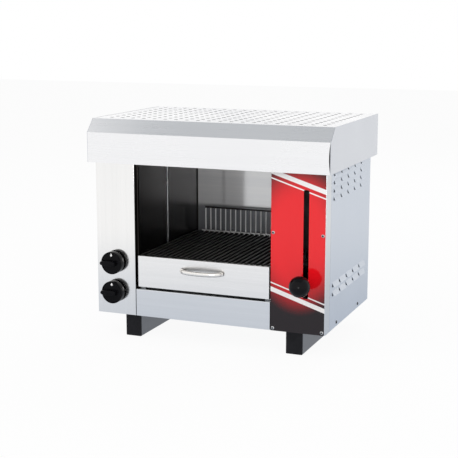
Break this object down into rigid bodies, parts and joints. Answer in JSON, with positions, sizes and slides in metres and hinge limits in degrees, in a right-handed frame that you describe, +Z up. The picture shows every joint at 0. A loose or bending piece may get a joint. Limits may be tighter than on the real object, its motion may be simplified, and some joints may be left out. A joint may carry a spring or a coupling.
{
  "type": "salamander grill",
  "caption": "Counter-top gas salamander grill: steel casing with vented hood, lifting grill grid on a ball-knob lever, drip tray drawer and gas knobs.",
  "frame": {"origin": "on the floor, under the middle of the overall box", "axes": "+X to the right seen from the front, +Y from the front to the back, +Z up"},
  "size_m": [0.6, 0.45, 0.53],
  "materials": {
    "casing_steel": "brushed stainless sheet, fine grain along the sheet",
    "zinc_sheet": "zinc coated sheet, matt",
    "cavity_steel": "heat-dulled stainless sheet",
    "foot_steel": "satin steel tube",
    "cap_plastic": "black matt moulded plastic",
    "decor_paint": "glossy red printed sheet with plain pale stripes",
    "fastener_steel": "bright plated steel",
    "bright_chrome": "bright chrome plating",
    "grid_iron": "dark cast bars",
    "knob_plastic": "glossy black thermoset plastic",
    "fitting_brass": "turned brass",
    "pipe_aluminium": "drawn aluminium pipe",
    "burner_steel": "aluminised steel, heat tinted",
    "plaque_ceramic": "porous burner ceramic"
  },
  "bodies": {
    "chassis": {"back_cavity_wall": "cavity_steel", "back_panel": "zinc_sheet", "base_plate": "zinc_sheet", "burner_rails": "zinc_sheet", "cavity_floor": "zinc_sheet", "decor_panel": "decor_paint", "decor_screws": "fastener_steel", "drawer_runners": "zinc_sheet", "foot_bolts": "fastener_steel", "foot_end_caps": "cap_plastic", "gas_inlet": "fitting_brass", "gas_manifold": "pipe_aluminium", "guide_brackets": "zinc_sheet", "guide_rods": "bright_chrome", "hood_left_end": "casing_steel", "hood_right_end": "casing_steel", "hood_shell": "casing_steel", "hood_spacers": "zinc_sheet", "injectors": "fitting_brass", "left_burner_box": "burner_steel", "left_burner_plaques": "plaque_ceramic", "left_cavity_wall": "cavity_steel", "left_foot_rail": "foot_steel", "left_front_panel": "casing_steel", "left_mixing_tube": "burner_steel", "left_side_panel": "casing_steel", "lower_front_panel": "casing_steel", "lower_supply_pipe": "pipe_aluminium", "lower_valve": "fitting_brass", "right_burner_box": "burner_steel", "right_burner_plaques": "plaque_ceramic", "right_cavity_wall": "cavity_steel", "right_foot_rail": "foot_steel", "right_front_panel": "casing_steel", "right_mixing_tube": "burner_steel", "right_side_panel": "casing_steel", "side_screws": "fastener_steel", "thermocouples": "burner_steel", "upper_front_rail": "casing_steel", "upper_supply_pipe": "pipe_aluminium", "upper_valve": "fitting_brass"},
    "drawer": {"drawer_front": "casing_steel", "drip_tray": "cavity_steel", "drawer_handle": "bright_chrome", "handle_screws": "fastener_steel"},
    "carriage": {"carrier_frame": "cavity_steel", "grill_grid": "grid_iron", "rear_fence": "bright_chrome", "left_slider": "cavity_steel", "right_slider": "cavity_steel", "slider_bushes": "fitting_brass", "lever_bar": "cavity_steel", "lever_rod": "bright_chrome", "ball_knob": "knob_plastic"},
    "upper_rotor": {"upper_valve_plug": "fitting_brass"},
    "upper_control": {"upper_spindle": "fitting_brass", "upper_knob": "knob_plastic"},
    "lower_rotor": {"lower_valve_plug": "fitting_brass"},
    "lower_control": {"lower_spindle": "fitting_brass", "lower_knob": "knob_plastic"}
  },
  "joints": [
    {"name": "drawer_slide", "type": "slide", "parent": "chassis", "child": "drawer", "axis": [0, -1, 0], "range_m": [0, 0.28]},
    {"name": "grid_lift", "type": "slide", "parent": "chassis", "child": "carriage", "axis": [0, 0, 1], "range_m": [0, 0.2]},
    {"name": "upper_turn", "type": "hinge", "parent": "chassis", "child": "upper_rotor", "pos_m": [-0.2405, -0.157, 0.1878], "axis": [0, -1, 0], "range_deg": [0, 180]},
    {"name": "upper_push", "type": "slide", "parent": "upper_rotor", "child": "upper_control", "axis": [0, 1, 0], "range_m": [0, 0.004], "stiffness_N_per_m": 1500},
    {"name": "lower_turn", "type": "hinge", "parent": "chassis", "child": "lower_rotor", "pos_m": [-0.2405, -0.157, 0.1159], "axis": [0, -1, 0], "range_deg": [0, 180]},
    {"name": "lower_push", "type": "slide", "parent": "lower_rotor", "child": "lower_control", "axis": [0, 1, 0], "range_m": [0, 0.004], "stiffness_N_per_m": 1500}
  ]
}
